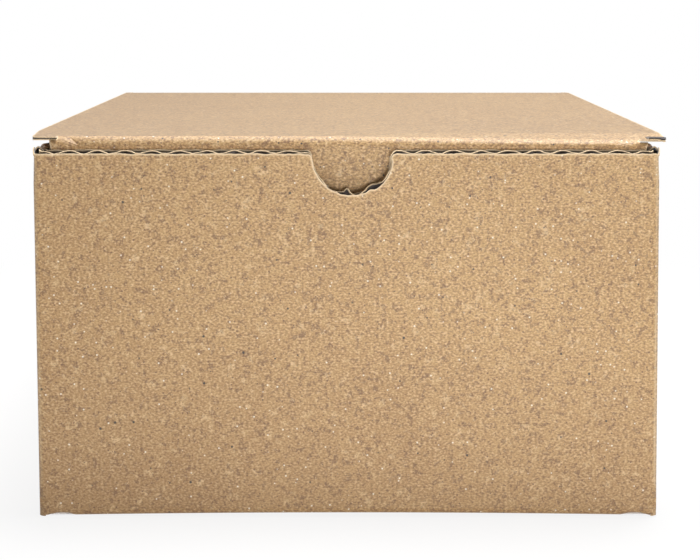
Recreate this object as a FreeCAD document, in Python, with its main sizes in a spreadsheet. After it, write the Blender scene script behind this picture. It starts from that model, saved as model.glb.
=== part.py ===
"""A closed tuck-top carton, folded and glued from one sheet of corrugated board.

The sheet is two solids, because its lid really opens: the carton body, and the lid with its
ears and tuck flap, which turns on the crease along the top of the back wall.
X runs to the right, Y from the front wall to the back wall, and Z up from the table.
The origin is the middle of the underside.
"""

import FreeCAD, Part
import math
import operator
import os

import Sketcher

# Driving dimensions, in millimetres and degrees
SIZES = [
    ("box_width", 145.0, "outside of the left wall to outside of the right wall"),
    ("box_depth", 180.0, "outside of the front wall to outside of the back wall"),
    ("wall_height", 86.4, "table to the outer liner at the front wall's cut edge"),
    ("board", 3.0, "thickness of the board"),
    ("liner", 0.3, "thickness of each face paper"),
    ("medium", 0.25, "thickness of the wavy paper"),
    ("flute_pitch", 6.35, "one wave of the fluting"),
    ("flute_foot", 0.61, "half of what the wave is glued to each liner along"),
    ("crest_radius", 1.5, "inside of each wave's crest"),
    ("edge_rise", 0.6, "how far the inner liner stands above the outer one at the cut edge"),
    ("fold_radius", 1.6, "outside of the upright folds and the bottom's folds"),
    ("side_crease_radius", 2.0, "outside of the folds between side walls and dust flaps"),
    ("crushed_end", 4.0, "board without open flutes, next to a fold"),
    ("notch_radius", 9.2, "thumb notch"),
    ("notch_drop", 0.3, "notch centre below the front wall's edge"),
    ("notch_offset", 1.2, "notch centre to the right of the middle"),
    ("shoulder_radius", 1.3, "rounding where the notch meets the cut edge"),
    ("dust_length", 45.0, "outside of a side wall to the free edge of its dust flap"),
    ("dust_front_gap", 6.0, "front wall's inside to the dust flap's front edge, at the fold"),
    ("dust_rear_gap", 4.0, "back wall's inside to the dust flap's rear edge, at the fold"),
    ("dust_taper", 7.0, "how much each edge of a dust flap runs in by its free end"),
    ("dust_corner", 9.0, "rounding of a dust flap's free corners"),
    ("corner_relief", 0.9, "board crushed off the side wall's inside beside the tuck flap"),
    ("seam_gap", 0.9, "gap between two bottom flaps that meet"),
    ("seam_web", 0.4, "paper left at the bottom of such a gap"),
    ("bottom_inset", 0.4, "outer bottom flap's edge inside the side wall's face"),
    ("bottom_fold_radius", 1.2, "fold between a side wall and its bottom flap"),
    ("bottom_fold_turn", 60.0, "how far that fold curves before the outer flap hides it, in degrees"),
    ("glue_flap_width", 26.0, "glued flap inside the back wall"),
    ("glue_flap_margin", 8.0, "glued flap's ends to the floor and to the wall's edge"),
    ("glue_flap_slant", 7.0, "how much the glued flap's ends run in"),
    ("joint_groove", 0.6, "width and depth of the line where the sheet's two ends meet"),
    ("lid_gap", 0.8, "front wall's edge to the level of the lid's underside"),
    ("seat_gap", 0.1, "dust flaps and back wall to the lid's underside"),
    ("lid_overhang", 2.1, "lid beyond each side wall"),
    ("lid_corner", 2.2, "rounding of the lid's four corners"),
    ("lid_fold_radius", 2.4, "outside of the fold between the lid and its tuck flap"),
    ("flap_gap", 0.4, "front wall's inside to the tuck flap at its fold"),
    ("ear_width", 4.4, "side of the lid to the tuck flap's side at its fold"),
    ("flap_side_gap", 0.3, "tuck flap to each side wall, inside the box"),
    ("flap_depth", 30.0, "tuck flap from its fold to its free edge"),
    ("flap_lean", 7.0, "tuck flap's lean into the box, in degrees"),
    ("flap_corner", 11.0, "rounding of the tuck flap's free corners"),
    ("ear_thickness", 1.2, "crushed board at the front edge of an ear"),
    ("ear_reach", 9.0, "how far back an ear is crushed"),
    ("ear_nose", 0.3, "ear's front edge ahead of the tuck flap's fold"),
    ("slit_width", 0.5, "cut between an ear and the tuck flap"),
    ("slit_overrun", 2.0, "how far that cut runs on into the tuck flap's fold"),
]

CLEAR = 2.0  # how far a cutting shape reaches past the board that it cuts
OPERATIONS = {"+": operator.add, "-": operator.sub, "*": operator.mul, "/": operator.truediv}


class Size:
    """A number together with the expression that gives it from the sheet of sizes."""

    def __init__(self, value, text):
        self.value = value
        self.text = text

    def __add__(self, other):
        return combine(self, "+", other)

    def __sub__(self, other):
        return combine(self, "-", other)

    def __mul__(self, other):
        return combine(self, "*", other)

    def __rmul__(self, other):
        return combine(other, "*", self)

    def __truediv__(self, other):
        return combine(self, "/", other)

    def __neg__(self):
        return combine(0, "-", self)


def as_size(number):
    return number if isinstance(number, Size) else Size(float(number), str(number))


def combine(left, sign, right):
    left = as_size(left)
    right = as_size(right)
    return Size(OPERATIONS[sign](left.value, right.value), f"({left.text} {sign} {right.text})")


def sine(angle):
    return Size(math.sin(math.radians(angle.value)), f"sin({angle.text})")


def cosine(angle):
    return Size(math.cos(math.radians(angle.value)), f"cos({angle.text})")


def root(size):
    return Size(math.sqrt(size.value), f"sqrt({size.text})")


def whole(size):
    return Size(math.floor(size.value), f"floor({size.text})")


def make_sheet(doc):
    """The sheet of driving dimensions; returns the same dimensions by name."""
    sheet = doc.addObject("Spreadsheet::Sheet", "sizes")
    named = {}
    for row, (name, value, meaning) in enumerate(SIZES, 1):
        sheet.set(f"A{row}", meaning)
        sheet.set(f"B{row}", str(value))
        sheet.setAlias(f"B{row}", name)
        named[name] = Size(value, f"sizes.{name}")
    doc.recompute()
    return named


def origin_plane(body, role):
    return next(part for part in body.Origin.OriginFeatures if part.Role == role)


def new_sketch(body, name, plane, offset=None):
    """An empty sketch on one of the body's own planes, moved along its normal by offset."""
    sketch = body.newObject("Sketcher::SketchObject", name)
    sketch.AttachmentSupport = [(origin_plane(body, plane), "")]
    sketch.MapMode = "FlatFace"
    if offset is not None:
        sketch.AttachmentOffset = FreeCAD.Placement(FreeCAD.Vector(0, 0, offset.value), FreeCAD.Rotation())
        sketch.setExpression("AttachmentOffset.Base.z", offset.text)
    return sketch


def pin(sketch, kind, places, size):
    """Add one dimension to a sketch and bind it to the sheet."""
    index = sketch.addConstraint(Sketcher.Constraint(kind, *places, size.value))
    sketch.setExpression(f"Constraints[{index}]", size.text)


def pin_point(sketch, item, end, across, up):
    """Hold one end of a line at its distances from the sketch's origin."""
    pin(sketch, "DistanceX", (-1, 1, item, end), across)
    pin(sketch, "DistanceY", (-1, 1, item, end), up)


def arc_between(start, end, radius, turn):
    """The shorter arc from start to end, turning left (1) or right (-1)."""
    chord = end - start
    middle = (start + end) * 0.5
    height = math.sqrt(max(radius ** 2 - (chord.Length / 2) ** 2, 0.0))
    side = FreeCAD.Vector(-chord.y, chord.x, 0).normalize()
    centre = middle + side * height * turn
    angles = [math.atan2(point.y - centre.y, point.x - centre.x) for point in (start, end)]
    if turn < 0:
        angles.reverse()
    circle = Part.Circle(centre, FreeCAD.Vector(0, 0, 1), radius)
    return Part.ArcOfCircle(circle, *angles)


def add_loop(sketch, corners):
    """A closed outline through corners, each (across, up) or (across, up, radius, turn).

    The longer form starts an arc of that radius towards the next corner.
    """
    points = [FreeCAD.Vector(corner[0].value, corner[1].value, 0) for corner in corners]
    first = sketch.GeometryCount
    ends = []
    for index, corner in enumerate(corners):
        start = points[index]
        end = points[(index + 1) % len(points)]
        if len(corner) == 2:
            sketch.addGeometry(Part.LineSegment(start, end))
            ends.append((1, 2))
        else:
            radius, turn = corner[2:]
            sketch.addGeometry(arc_between(start, end, radius.value, turn))
            ends.append((1, 2) if turn > 0 else (2, 1))
    for index in range(len(corners)):
        follower = (index + 1) % len(corners)
        joined = (first + index, ends[index][1], first + follower, ends[follower][0])
        sketch.addConstraint(Sketcher.Constraint("Coincident", *joined))
    for index, corner in enumerate(corners):
        pin_point(sketch, first + index, ends[index][0], as_size(corner[0]), as_size(corner[1]))
        if len(corner) == 4:
            pin(sketch, "Radius", (first + index,), corner[2])


def rectangle(left, low, right, high):
    return [(left, low), (right, low), (right, high), (left, high)]


def add_both_sides(sketch, corners):
    """The same outline on the right, and turned over on the left."""
    add_loop(sketch, corners)
    add_loop(sketch, [(-corner[0], corner[1], *turned_over(corner[2:])) for corner in corners])


def turned_over(arc):
    return (arc[0], -arc[1]) if arc else ()


def add_channel(sketch, middle, foot, side, s):
    """One hollow of the fluting: flat on the liner at foot, and arched towards side (1 or -1)."""
    half = s["flute_pitch"] / 2 - s["flute_foot"]
    crest = s["board"] - 2 * s["liner"] - s["medium"]
    radius = s["crest_radius"]
    centre = foot + side * (crest - radius)
    # Where a straight flank from the foot's end meets the crest
    reach = math.hypot(half.value, crest.value - radius.value)
    turn = math.atan2(crest.value - radius.value, half.value)
    angle = math.acos(radius.value / reach) - turn
    touch_x = radius.value * math.cos(angle)
    touch_y = side * radius.value * math.sin(angle)
    left = FreeCAD.Vector(middle.value - half.value, foot.value, 0)
    right = FreeCAD.Vector(middle.value + half.value, foot.value, 0)
    top_right = FreeCAD.Vector(middle.value + touch_x, centre.value + touch_y, 0)
    top_left = FreeCAD.Vector(middle.value - touch_x, centre.value + touch_y, 0)
    first = sketch.GeometryCount
    base, flank_right, crown, flank_left = range(first, first + 4)
    sketch.addGeometry(Part.LineSegment(left, right))
    sketch.addGeometry(Part.LineSegment(right, top_right))
    sketch.addGeometry(arc_between(top_right, top_left, radius.value, side))
    sketch.addGeometry(Part.LineSegment(top_left, left))
    crown_ends = (1, 2) if side > 0 else (2, 1)
    sketch.addConstraint(Sketcher.Constraint("Coincident", base, 2, flank_right, 1))
    sketch.addConstraint(Sketcher.Constraint("Tangent", flank_right, 2, crown, crown_ends[0]))
    sketch.addConstraint(Sketcher.Constraint("Tangent", crown, crown_ends[1], flank_left, 1))
    sketch.addConstraint(Sketcher.Constraint("Coincident", flank_left, 2, base, 1))
    pin_point(sketch, base, 1, middle - half, foot)
    pin_point(sketch, base, 2, middle + half, foot)
    pin_point(sketch, crown, 3, middle, centre)
    pin(sketch, "Radius", (crown,), radius)


def add_feature(body, kind, name, sketch, length=None, reverse=False, both_ways=False):
    """Pad or pocket a sketch; without a length it runs through everything."""
    feature = body.newObject(f"PartDesign::{kind}", name)
    feature.Profile = sketch
    feature.SideType = "Symmetric" if both_ways else "One side"
    if length is None:
        feature.Type = "ThroughAll"
    else:
        feature.Type = "Length"
        feature.Length = length.value
        feature.setExpression("Length", length.text)
    feature.Reversed = reverse
    return feature


def cut(body, name, sketch, length=None, reverse=False, both_ways=False):
    """A pocket that has to take board away."""
    body.Document.recompute()
    before = body.Shape.Volume
    feature = add_feature(body, "Pocket", name, sketch, length, reverse, both_ways)
    body.Document.recompute()
    if body.Shape.Volume > before - 1e-3:
        raise RuntimeError(f"{name} cuts nothing")
    return feature


def round_edges(body, name, base, radius, chosen):
    """Round the straight edges that the chosen test accepts, given their middle and direction."""
    body.Document.recompute()
    names = []
    for index, edge in enumerate(base.Shape.Edges, 1):
        if edge.Curve.TypeId != "Part::GeomLine":
            continue
        middle = edge.CenterOfMass
        along = (edge.Vertexes[1].Point - edge.Vertexes[0].Point).normalize()
        if chosen(middle, along):
            names.append(f"Edge{index}")
    feature = body.newObject("PartDesign::Fillet", name)
    feature.Base = (base, names)
    feature.Radius = radius.value
    feature.setExpression("Radius", radius.text)
    return feature


def flute_row(body, name, sketch, first, outer, inner, reach, count, s, reverse=False):
    """A row of open flutes, cut in from an edge of the board.

    The sketch's first axis runs along that edge, and outer and inner are the places of the
    board's two faces on its second axis.
    """
    side = 1 if inner.value > outer.value else -1
    add_channel(sketch, first, outer + side * s["liner"], side, s)
    add_channel(sketch, first + s["flute_pitch"] / 2, inner - side * s["liner"], -side, s)
    pocket = cut(body, name, sketch, reach, reverse)
    row = body.newObject("PartDesign::LinearPattern", f"{name}_row")
    row.Originals = [pocket]
    row.Direction = (sketch, ["H_Axis"])
    row.Mode = "Spacing"
    row.Offset = s["flute_pitch"].value
    row.setExpression("Offset", s["flute_pitch"].text)
    row.Occurrences = int(count.value)
    row.setExpression("Occurrences", count.text)
    body.Tip = row
    return row


def flutes_in(length, s):
    """How many whole waves an edge of this length shows, and where the first one stands."""
    count = whole(length / s["flute_pitch"])
    return count, -(count - 1) * s["flute_pitch"] / 2 - s["flute_pitch"] / 4


def levels(s):
    """Heights and half sizes that several pieces share."""
    s["half_width"] = s["box_width"] / 2
    s["half_depth"] = s["box_depth"] / 2
    s["inside_x"] = s["half_width"] - s["board"]
    s["inside_y"] = s["half_depth"] - s["board"]
    s["floor_top"] = 2 * s["board"]
    s["lid_underside"] = s["wall_height"] + s["lid_gap"]
    s["lid_top"] = s["lid_underside"] + s["board"]
    s["rim"] = s["lid_underside"] - s["seat_gap"]
    s["dust_underside"] = s["rim"] - s["board"]
    s["lid_half"] = s["half_width"] + s["lid_overhang"]
    s["crease_y"] = -s["inside_y"] + s["flap_gap"]
    s["dust_free"] = s["half_width"] - s["dust_length"]
    s["dust_front"] = -s["inside_y"] + s["dust_front_gap"]
    s["dust_rear"] = s["inside_y"] - s["dust_rear_gap"]


def make_walls(body, s):
    """Four walls and a closed bottom, rounded at the folds and open at the top."""
    half_width, half_depth = s["half_width"], s["half_depth"]
    sketch = new_sketch(body, "footprint", "XY_Plane")
    add_loop(sketch, rectangle(-half_width, -half_depth, half_width, half_depth))
    block = add_feature(body, "Pad", "outer_block", sketch, s["rim"])

    def is_fold(middle, along):
        upright = abs(along.z) > 0.99
        under = abs(along.x) > 0.99 and middle.z < 1e-3
        return upright or under

    round_edges(body, "outer_folds", block, s["fold_radius"], is_fold)
    sketch = new_sketch(body, "inside_outline", "XY_Plane", s["floor_top"])
    add_loop(sketch, rectangle(-s["inside_x"], -s["inside_y"], s["inside_x"], s["inside_y"]))
    cut(body, "inside", sketch, reverse=True)


def make_rim(body, s):
    """The front wall's sloping cut edge, the side walls' rounded folds and the relief beside them."""
    high = s["rim"] + CLEAR
    front = -s["half_depth"]
    sketch = new_sketch(body, "cut_edge_outline", "YZ_Plane")
    add_loop(sketch, [
        (front, s["wall_height"]),
        (front + s["board"], s["wall_height"] + s["edge_rise"]),
        (front + s["board"], high),
        (front - CLEAR, high),
        (front - CLEAR, s["wall_height"]),
    ])
    cut(body, "cut_edge", sketch, both_ways=True)

    radius = s["side_crease_radius"]
    edge = s["half_width"]
    sketch = new_sketch(body, "side_crease_outline", "XZ_Plane")
    add_both_sides(sketch, [
        (edge, s["rim"] - radius, radius, 1),
        (edge - radius, s["rim"]),
        (edge - radius, high),
        (edge + CLEAR, high),
        (edge + CLEAR, s["rim"] - radius),
    ])
    cut(body, "side_creases", sketch, 2 * s["inside_y"], both_ways=True)

    sketch = new_sketch(body, "relief_outline", "XZ_Plane", s["inside_y"])
    add_both_sides(sketch, [
        (s["inside_x"] - CLEAR, s["dust_underside"]),
        (s["inside_x"] + s["corner_relief"], s["dust_underside"]),
        (s["inside_x"] + s["corner_relief"], high),
        (s["inside_x"] - CLEAR, high),
    ])
    cut(body, "relief", sketch, s["dust_front_gap"])


def make_dust_flaps(body, s):
    """Two flaps folded in from the side walls, with tapered edges and rounded corners."""
    root = s["half_width"] - s["board"] / 2
    free, front, rear = s["dust_free"], s["dust_front"], s["dust_rear"]
    taper, corner = s["dust_taper"], s["dust_corner"]
    sketch = new_sketch(body, "dust_flap_outline", "XY_Plane", s["dust_underside"])
    add_both_sides(sketch, [
        (root, front),
        (root, rear),
        (free + corner, rear - taper, corner, 1),
        (free, rear - taper - corner),
        (free, front + taper + corner, corner, 1),
        (free + corner, front + taper),
    ])
    add_feature(body, "Pad", "dust_flaps", sketch, s["board"])


def make_dust_flutes(body, s):
    """Open flutes along the free edge of each dust flap."""
    straight = s["dust_rear"] - s["dust_front"] - 2 * (s["dust_taper"] + s["dust_corner"])
    count, first = flutes_in(straight, s)
    first = first + (s["dust_rear"] + s["dust_front"]) / 2
    reach = s["dust_length"] - s["board"] - s["crushed_end"]
    for name, side in (("right_dust", 1), ("left_dust", -1)):
        sketch = new_sketch(body, f"{name}_flute_outline", "YZ_Plane", side * s["dust_free"])
        flute_row(
            body, f"{name}_flutes", sketch, first, s["rim"], s["dust_underside"],
            reach, count, s, reverse=side > 0,
        )


def make_bottom(body, s):
    """Seams and edges of the four glued bottom flaps."""
    half_width, board = s["half_width"], s["board"]
    gap = s["seam_gap"] / 2
    sketch = new_sketch(body, "outer_seam_outline", "YZ_Plane")
    add_loop(sketch, rectangle(-gap, as_size(-CLEAR), gap, board - s["seam_web"]))
    cut(body, "outer_seam", sketch, both_ways=True)

    sketch = new_sketch(body, "inner_seam_outline", "XZ_Plane")
    seam_foot = s["floor_top"] - board + s["seam_web"]
    add_loop(sketch, rectangle(-gap, seam_foot, gap, s["floor_top"] + CLEAR))
    cut(body, "inner_seam", sketch, 2 * s["inside_y"], both_ways=True)

    radius, turn = s["bottom_fold_radius"], s["bottom_fold_turn"]
    hidden_x = half_width - radius + radius * cosine(turn)
    hidden_z = board + radius - radius * sine(turn)
    sketch = new_sketch(body, "bottom_edge_outline", "XZ_Plane")
    add_both_sides(sketch, [
        (half_width + CLEAR, as_size(-CLEAR)),
        (half_width + CLEAR, board + radius),
        (half_width, board + radius, radius, -1),
        (hidden_x, hidden_z),
        (hidden_x, board),
        (half_width - s["bottom_inset"], board),
        (half_width - s["bottom_inset"], as_size(-CLEAR)),
    ])
    cut(body, "bottom_edges", sketch, both_ways=True)


def make_glue_joint(body, s):
    """The flap glued inside the back wall, and the line outside where the sheet's ends meet."""
    inner = s["inside_x"] - s["glue_flap_width"]
    low = s["floor_top"] + s["glue_flap_margin"]
    high = s["wall_height"] - s["glue_flap_margin"]
    slant = s["glue_flap_slant"]
    sketch = new_sketch(body, "glue_flap_outline", "XZ_Plane", -s["inside_y"])
    add_loop(sketch, [
        (s["inside_x"], low - slant),
        (s["inside_x"], high + slant),
        (inner, high),
        (inner, low),
    ])
    add_feature(body, "Pad", "glue_flap", sketch, s["board"])

    groove = s["joint_groove"]
    sketch = new_sketch(body, "joint_line_outline", "XY_Plane")
    add_loop(sketch, [
        (s["half_width"] - groove, s["inside_y"]),
        (s["half_width"] + groove, s["inside_y"] - groove),
        (s["half_width"] + groove, s["inside_y"] + groove),
    ])
    cut(body, "joint_line", sketch, reverse=True)


def make_notch(body, s):
    """The thumb notch in the front wall, with rounded shoulders."""
    radius, shoulder, middle = s["notch_radius"], s["shoulder_radius"], s["notch_offset"]
    centre_z = s["wall_height"] - s["notch_drop"]
    top = s["wall_height"] + s["edge_rise"]
    lift = top - shoulder - centre_z
    between = radius + shoulder
    shoulder_x = root(between * between - lift * lift)
    touch_x = shoulder_x * radius / between
    touch_z = centre_z + lift * radius / between
    sketch = new_sketch(body, "notch_outline", "XZ_Plane", s["half_depth"] + CLEAR)
    add_loop(sketch, [
        (middle - shoulder_x, top, shoulder, -1),
        (middle - touch_x, touch_z, radius, 1),
        (middle, centre_z - radius, radius, 1),
        (middle + touch_x, touch_z, shoulder, -1),
        (middle + shoulder_x, top),
        (middle + shoulder_x, top + CLEAR),
        (middle - shoulder_x, top + CLEAR),
    ])
    cut(body, "notch", sketch, s["board"] + 2 * CLEAR)


def make_carton_body(doc, s):
    body = doc.addObject("PartDesign::Body", "carton_body")
    make_walls(body, s)
    make_rim(body, s)
    make_bottom(body, s)
    make_glue_joint(body, s)
    make_dust_flaps(body, s)
    make_dust_flutes(body, s)
    make_notch(body, s)

    count, first = flutes_in(s["box_width"] - 2 * s["crushed_end"], s)
    sketch = new_sketch(body, "front_flute_outline", "XY_Plane", s["rim"])
    reach = s["rim"] - s["floor_top"] - s["crushed_end"]
    front = -s["half_depth"]
    flute_row(body, "front_flutes", sketch, first, front, front + s["board"], reach, count, s)
    return body


def make_lid(doc, s):
    """The lid's panel, its crushed ears and the tuck flap that goes in behind the front wall."""
    body = doc.addObject("PartDesign::Body", "lid")
    board, top, under = s["board"], s["lid_top"], s["lid_underside"]
    lean, radius = s["flap_lean"], s["lid_fold_radius"]
    hinge_y = s["half_depth"] - board / 2
    hinge_z = under + board / 2
    across, down = sine(lean), cosine(lean)
    fold_y = s["crease_y"] + radius - radius * down
    fold_z = top - radius - radius * across
    end_y = fold_y + s["flap_depth"] * across
    end_z = fold_z - s["flap_depth"] * down
    inner_run = (under - fold_z - board * across) / down
    sketch = new_sketch(body, "lid_section", "YZ_Plane")
    add_loop(sketch, [
        (hinge_y, top),
        (s["crease_y"] + radius, top, radius, 1),
        (fold_y, fold_z),
        (end_y, end_z),
        (end_y + board * down, end_z + board * across),
        (fold_y + board * down - inner_run * across, under),
        (hinge_y, under, board / 2, 1),
        (hinge_y + board / 2, hinge_z, board / 2, 1),
    ])
    add_feature(body, "Pad", "lid_sheet", sketch, 2 * s["lid_half"], both_ways=True)

    flap_half = s["lid_half"] - s["ear_width"]
    flap_inside = s["inside_x"] - s["flap_side_gap"]
    corner = s["flap_corner"]
    sketch = new_sketch(body, "flap_outline", "XZ_Plane")
    add_both_sides(sketch, [
        (flap_half, under),
        (flap_inside, s["dust_underside"]),
        (flap_inside, end_z + corner, corner, -1),
        (flap_inside - corner, end_z),
        (flap_inside - corner, end_z - CLEAR),
        (s["lid_half"] + CLEAR, end_z - CLEAR),
        (s["lid_half"] + CLEAR, under),
    ])
    cut(body, "flap_sides", sketch, both_ways=True)

    ear_under = top - s["ear_thickness"]
    nose_y = s["crease_y"] - s["ear_nose"]
    sketch = new_sketch(body, "ear_outline", "XZ_Plane", -nose_y)
    add_both_sides(sketch, rectangle(flap_half, ear_under, s["lid_half"], top))
    add_feature(body, "Pad", "ears", sketch, 2 * radius, reverse=True)

    for side, name in ((1, "right_ear"), (-1, "left_ear")):
        sketch = new_sketch(body, f"{name}_outline", "YZ_Plane", side * flap_half)
        add_loop(sketch, [
            (nose_y - CLEAR, ear_under),
            (s["crease_y"], ear_under),
            (s["crease_y"] + s["ear_reach"], under),
            (s["crease_y"] + s["ear_reach"], under - CLEAR),
            (nose_y - CLEAR, under - CLEAR),
        ])
        cut(body, f"{name}_crush", sketch, reverse=side > 0)

    sketch = new_sketch(body, "slit_outline", "XZ_Plane", -(s["crease_y"] + radius))
    slit_start = flap_half - s["slit_overrun"]
    slit_low = ear_under - s["slit_width"]
    add_both_sides(sketch, rectangle(slit_start, slit_low, s["lid_half"] + CLEAR, ear_under))
    cut(body, "slits", sketch, radius + CLEAR, reverse=True)

    sketch = new_sketch(body, "lid_corner_outline", "XY_Plane")
    round_by = s["lid_corner"]
    for edge_y, away, turn in ((nose_y, -1, 1), (s["half_depth"], 1, -1)):
        add_both_sides(sketch, [
            (s["lid_half"] - round_by, edge_y, round_by, turn),
            (s["lid_half"], edge_y - away * round_by),
            (s["lid_half"] + CLEAR, edge_y - away * round_by),
            (s["lid_half"] + CLEAR, edge_y + away * CLEAR),
            (s["lid_half"] - round_by, edge_y + away * CLEAR),
        ])
    cut(body, "lid_corners", sketch, reverse=True)

    sketch = new_sketch(body, "flap_flute_outline", "XY_Plane")
    tilt = FreeCAD.Rotation(FreeCAD.Vector(1, 0, 0), lean.value)
    sketch.AttachmentOffset = FreeCAD.Placement(FreeCAD.Vector(0, end_y.value, end_z.value), tilt)
    sketch.setExpression("AttachmentOffset.Base.y", end_y.text)
    sketch.setExpression("AttachmentOffset.Base.z", end_z.text)
    sketch.setExpression("AttachmentOffset.Rotation.Angle", lean.text)
    count, first = flutes_in(2 * (flap_inside - corner), s)
    reach = s["flap_depth"] - s["crushed_end"]
    flute_row(body, "flap_flutes", sketch, first, as_size(0), board, reach, count, s, reverse=True)
    return body


def check(doc, parts):
    """Stop unless every object is sound and every sub-part is one valid solid."""
    for thing in doc.Objects:
        if "Invalid" in thing.State or "Error" in thing.State:
            raise RuntimeError(f"{thing.Name} is {thing.State}")
    for part in parts:
        shape = part.Shape
        if shape.isNull() or not shape.isValid() or len(shape.Solids) != 1:
            raise RuntimeError(f"{part.Label} isn't one valid solid")


def main():
    doc = FreeCAD.newDocument("tuck_top_carton")
    sizes = make_sheet(doc)
    levels(sizes)
    parts = [make_carton_body(doc, sizes), make_lid(doc, sizes)]
    doc.recompute()
    check(doc, parts)
    os.makedirs("parts", exist_ok=True)
    for part in parts:
        part.Shape.exportStep(f"parts/{part.Label}.step")
        print(part.Label, round(part.Shape.Volume), "mm3", part.Shape.BoundBox)


main()
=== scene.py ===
import math

import bmesh
import bpy
import numpy
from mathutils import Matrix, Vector, noise
from mathutils.geometry import delaunay_2d_cdt


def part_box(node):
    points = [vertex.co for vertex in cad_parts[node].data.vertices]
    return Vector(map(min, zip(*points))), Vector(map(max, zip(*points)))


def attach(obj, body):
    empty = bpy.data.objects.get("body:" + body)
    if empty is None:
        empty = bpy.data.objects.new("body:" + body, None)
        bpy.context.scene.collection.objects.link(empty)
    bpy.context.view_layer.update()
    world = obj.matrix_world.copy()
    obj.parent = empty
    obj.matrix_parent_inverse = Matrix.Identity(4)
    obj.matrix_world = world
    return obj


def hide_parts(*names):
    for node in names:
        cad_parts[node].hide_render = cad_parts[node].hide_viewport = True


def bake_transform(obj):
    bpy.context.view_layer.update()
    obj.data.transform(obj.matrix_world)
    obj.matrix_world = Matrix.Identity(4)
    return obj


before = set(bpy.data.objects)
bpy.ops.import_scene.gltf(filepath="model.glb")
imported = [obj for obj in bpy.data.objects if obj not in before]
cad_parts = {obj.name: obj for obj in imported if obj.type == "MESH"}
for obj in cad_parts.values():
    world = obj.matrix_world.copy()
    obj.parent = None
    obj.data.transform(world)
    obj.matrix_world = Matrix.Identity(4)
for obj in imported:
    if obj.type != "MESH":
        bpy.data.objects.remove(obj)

bl_info = {
    "name": "Tuck-Top Carton",
    "version": (1, 0, 0),
    "blender": (4, 5, 0),
    "location": "View3D > Sidebar > Carton",
    "description": "Dresses a folded carton in liners and fluting of corrugated kraft board",
    "category": "Add Mesh",
}

MM = 0.001
QUARTER = math.pi / 2
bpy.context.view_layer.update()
CARTON_LOW, CARTON_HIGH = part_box("carton_body")
LID_LOW, LID_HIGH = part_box("lid")
LINER_PAPER = "kraft_liner"
WAVY_PAPER = "fluting"

WALL_STEP = 7 * MM  # spacing of the walls' and dust flaps' points
FLAP_STEP = 8 * MM  # spacing of the lid's and tuck flap's points
FLOOR_STEP = 9 * MM  # spacing of the bottom's and glue flap's points
SHOWN_EDGE = 0.6 * MM  # spacing of the points along the cut edges that show most
PLAIN_EDGE = 0.8 * MM
HIDDEN_EDGE = 1.2 * MM
SHARP_ANGLE = math.radians(35)


def length(name, description, millimetres):
    return bpy.props.FloatProperty(
        name=name, description=description, default=millimetres * MM, unit="LENGTH", precision=5)


def colour(name, description, value):
    return bpy.props.FloatVectorProperty(
        name=name, description=description, default=value, subtype="COLOR", size=3, min=0, max=1)


class BoardSizes(bpy.types.PropertyGroup):
    """The corrugated board: two face papers and the wavy paper between them."""

    thickness: length("Board", "Thickness of the board", 3.0)
    liner: length("Liner", "Thickness of each face paper", 0.3)
    medium: length("Medium", "Thickness of the wavy paper", 0.28)
    pitch: length("Flute Pitch", "One wave of the fluting", 6.35)
    phase: length("Flute Phase", "Where a wave of the front wall touches the outer liner", 2.6)
    unevenness: length("Unevenness", "How far the waves wander", 0.3)
    edge_band: length("Edge Band", "Width of the pale, fuzzy band beside a cut edge", 0.5)
    ragged: length("Ragged Edge", "How far a cut edge wanders", 0.09)


class CartonSizes(bpy.types.PropertyGroup):
    """Walls, bottom, dust flaps and thumb notch."""

    wall_height: length("Wall Height", "Table to the front wall's outer liner", 86.5)
    edge_rise: length("Edge Rise", "Inner liner above the outer one at the front wall's edge", 0.65)
    fold_radius: length("Fold Radius", "Outside of the upright folds", 1.6)
    side_radius: length("Side Fold Radius", "Outside of the dust flaps' folds", 2.0)
    bottom_radius: length("Bottom Fold Radius", "Outside of the side walls' bottom folds", 1.2)
    bottom_inset: length("Bottom Inset", "Outer bottom flaps inside the side walls", 0.4)
    seam_gap: length("Seam Gap", "Gap between two bottom flaps that meet", 0.9)
    joint_radius: length("Joint Radius", "Turn of the side wall at the glued joint", 0.6)
    glue_width: length("Glue Flap Width", "Glued flap inside the back wall", 26.0)
    glue_margin: length("Glue Flap Margin", "Glued flap to the floor and to the edge", 8.0)
    glue_slant: length("Glue Flap Slant", "How much its ends run in", 7.0)
    notch_radius: length("Notch Radius", "Thumb notch", 9.2)
    notch_drop: length("Notch Drop", "Notch centre below the edge", 0.3)
    notch_offset: length("Notch Offset", "Notch centre right of the middle", 1.2)
    shoulder_radius: length("Shoulder Radius", "Rounding where the notch meets the edge", 1.3)
    dust_length: length("Dust Flap", "Side wall to the dust flap's free edge", 45.0)
    dust_front: length("Dust Flap Front", "Front wall's inside to the dust flap", 6.0)
    dust_rear: length("Dust Flap Rear", "Back wall's inside to the dust flap", 4.0)
    dust_taper: length("Dust Flap Taper", "How much its edges run in", 7.0)
    dust_corner: length("Dust Flap Corner", "Rounding of its free corners", 9.0)
    splay_left: length("Splay Left", "Left wall's lean outwards at the table", 0.55)
    splay_right: length("Splay Right", "Right wall's lean outwards at the table", 1.3)
    bow: length("Bow", "Lift of the front wall's bottom edge at its middle", 0.65)
    ear_lift: length("Ear Lift", "How much higher the side folds stand under the ears", 1.3)


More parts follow.
